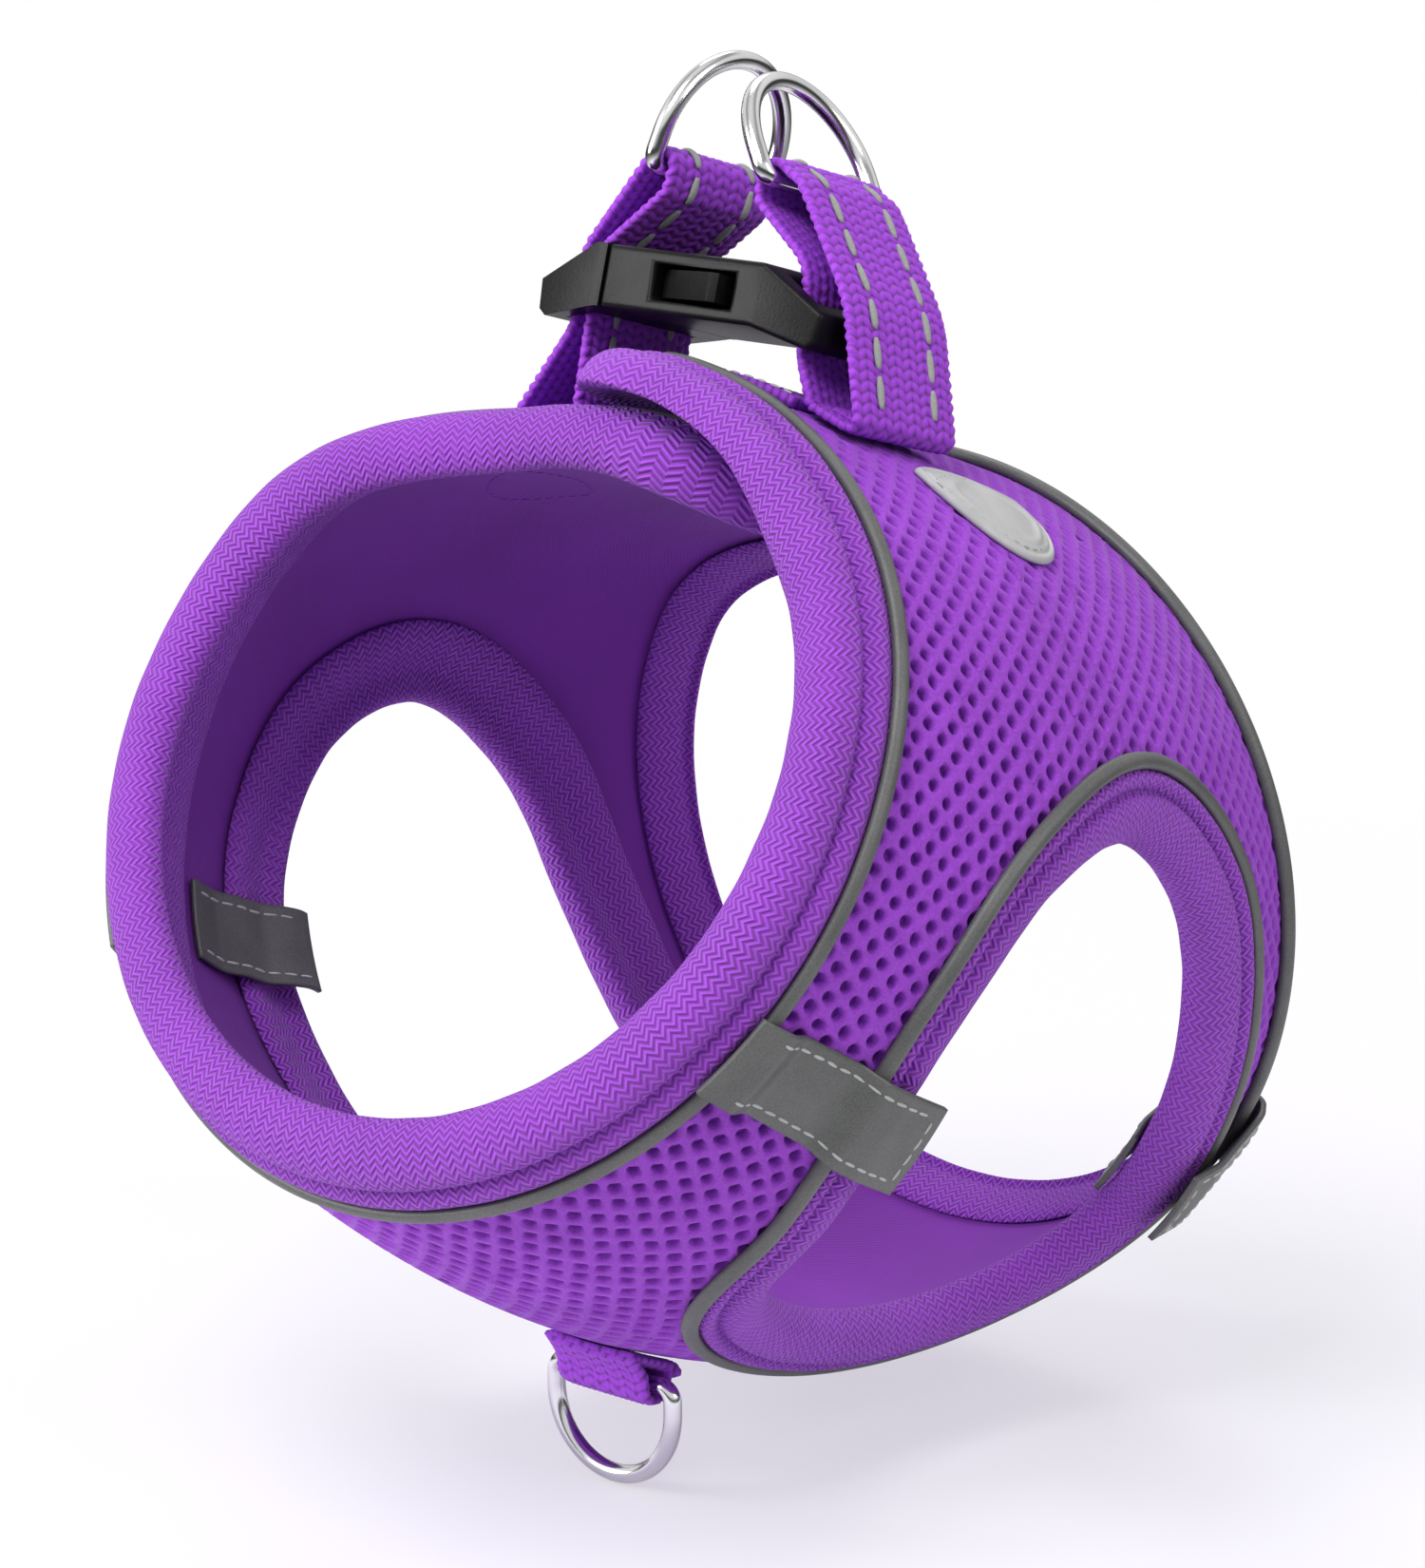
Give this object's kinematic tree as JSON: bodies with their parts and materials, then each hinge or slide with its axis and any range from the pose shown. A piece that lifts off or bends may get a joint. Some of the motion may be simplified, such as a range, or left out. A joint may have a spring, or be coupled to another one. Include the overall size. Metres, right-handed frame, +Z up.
{
  "type": "no pull dog harness",
  "caption": "Step-in vest harness for a small dog in air mesh, with padded openings, two leash rings on webbing loops over a side-release buckle, and a chest ring.",
  "frame": {"origin": "middle of the torso passage, halfway between the centres of the neck ring and the rear ring", "axes": "+Z up, -Y towards the dog's head, +X the dog's left; the vest is pitched nose up as it is worn on a display form"},
  "size_m": [0.1286, 0.1341, 0.1811],
  "materials": {
    "air_mesh": "open polyester air mesh",
    "lining": "smooth brushed lining",
    "knit_binding": "ribbed knit",
    "reflective": "matte reflective tape",
    "badge": "light grey artificial leather",
    "hook_and_loop": "napped",
    "thread": "stitched",
    "webbing": "woven",
    "ring_metal": "polished",
    "buckle_plastic": "fine grain"
  },
  "bodies": {
    "vest": {"outer_mesh": "air_mesh", "lining": "lining", "neck_binding": "knit_binding", "rear_binding": "knit_binding", "left_leg_binding": "knit_binding", "right_leg_binding": "knit_binding", "neck_piping": "reflective", "rear_piping": "reflective", "left_leg_piping": "reflective", "right_leg_piping": "reflective", "left_reflective_band": "reflective", "right_reflective_band": "reflective", "left_strip_tab": "reflective", "right_strip_tab": "reflective", "left_badge": "badge", "right_badge": "badge", "hook_patch": "hook_and_loop", "loop_patch": "hook_and_loop", "back_strap": "webbing", "left_ring_loop": "webbing", "right_loop_foot": "webbing", "left_loop_bartack": "thread", "right_loop_bartack": "thread", "chest_ring_tab": "webbing", "buckle_socket": "buckle_plastic"},
    "plug_strap": {"buckle_plug": "buckle_plastic", "right_ring_loop": "webbing"},
    "left_ring": {"left_leash_ring": "ring_metal"},
    "right_ring": {"right_leash_ring": "ring_metal"},
    "chest_ring_body": {"chest_ring": "ring_metal"},
    "front_arm": {"latch_arm_front": "buckle_plastic"},
    "rear_arm": {"latch_arm_rear": "buckle_plastic"}
  },
  "joints": [
    {"name": "buckle_release", "type": "slide", "parent": "vest", "child": "plug_strap", "axis": [-1, 0, 0], "range_m": [0, 0.021], "deforming": ["latch_arm_front", "latch_arm_rear"]},
    {"name": "left_ring_swing", "type": "hinge", "parent": "vest", "child": "left_ring", "pos_m": [0.0093, 0.0048, 0.07949], "axis": [0, 0.9613, -0.2756], "range_deg": [0, 120]},
    {"name": "right_ring_swing", "type": "hinge", "parent": "plug_strap", "child": "right_ring", "pos_m": [-0.0093, 0.0048, 0.07949], "axis": [0, -0.9613, 0.2756], "range_deg": [0, 105]},
    {"name": "chest_ring_swing", "type": "hinge", "parent": "vest", "child": "chest_ring_body", "pos_m": [0, -0.02509, -0.07031], "axis": [1, 0, 0], "range_deg": [-55, 45]},
    {"name": "front_latch_squeeze", "type": "hinge", "parent": "plug_strap", "child": "front_arm", "pos_m": [-0.013, -0.00675, 0.06751], "axis": [0, 0.2756, 0.9613], "range_deg": [0, 12], "stiffness_Nm_per_rad": 0.05},
    {"name": "rear_latch_squeeze", "type": "hinge", "parent": "plug_strap", "child": "rear_arm", "pos_m": [-0.013, 0.00825, 0.06321], "axis": [0, -0.2756, -0.9613], "range_deg": [0, 12], "stiffness_Nm_per_rad": 0.05}
  ]
}
